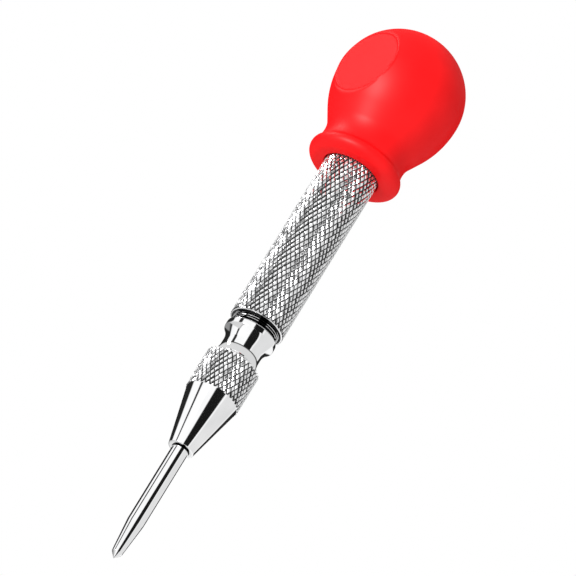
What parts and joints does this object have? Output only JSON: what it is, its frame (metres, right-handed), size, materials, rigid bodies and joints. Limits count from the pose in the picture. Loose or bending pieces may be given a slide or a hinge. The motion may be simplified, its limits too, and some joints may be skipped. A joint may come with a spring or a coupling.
{
  "type": "automatic center punch",
  "caption": "Spring-loaded hand punch with a slim pointed pin, a knurled nose and barrel, and a round red palm cap that turns to set the blow.",
  "frame": {"origin": "the point of the punch at rest", "axes": "+Z along the tool from its point to its cap; the flat round face of the cap looks towards -X and -Y alike"},
  "size_m": [0.0296, 0.0296, 0.1486],
  "materials": {
    "punch_steel": "ground and polished",
    "chrome_plate": "polished, diamond knurl on the grips",
    "tool_steel": "turned, lightly oiled",
    "spring_wire": "drawn wire",
    "red_rubber": "satin, moulded"
  },
  "bodies": {
    "barrel": {"barrel": "chrome_plate", "nosepiece": "chrome_plate", "centering_bush": "tool_steel", "trigger_spring": "spring_wire", "main_spring": "spring_wire"},
    "punch": {"punch_pin": "punch_steel", "plunger": "tool_steel"},
    "trigger": {"trigger_pin": "tool_steel"},
    "hammer": {"hammer": "tool_steel"},
    "spring_seat": {"spring_seat": "tool_steel"},
    "cap": {"cap": "red_rubber", "adjusting_screw": "tool_steel"}
  },
  "joints": [
    {"name": "punch_slide", "type": "slide", "parent": "barrel", "child": "punch", "axis": [0, 0, 1], "range_m": [0, 0.012], "stiffness_N_per_m": 2000, "springref_m": -0.01, "deforming": ["trigger_spring"]},
    {"name": "trigger_tilt", "type": "hinge", "parent": "punch", "child": "trigger", "pos_m": [0, 0, 0.055], "axis": [0, 1, 0], "range_deg": [-2.1, 0]},
    {"name": "hammer_lift", "type": "slide", "parent": "barrel", "child": "hammer", "axis": [0, 0, 1], "range_m": [0, 0.012], "deforming": ["main_spring"]},
    {"name": "cap_travel", "type": "slide", "parent": "barrel", "child": "spring_seat", "axis": [0, 0, 1], "range_m": [-0.002, 0.003], "deforming": ["main_spring"]},
    {"name": "cap_turn", "type": "hinge", "parent": "spring_seat", "child": "cap", "pos_m": [0, 0, 0.12], "axis": [0, 0, 1], "range_deg": [-720, 1080]}
  ],
  "couplings": [
    {"joint": "hammer_lift", "follows": "punch_slide", "ratio": 1},
    {"joint": "trigger_tilt", "follows": "punch_slide", "rad_per_m": -3.05},
    {"joint": "cap_turn", "follows": "cap_travel", "rad_per_m": 6283.2}
  ]
}
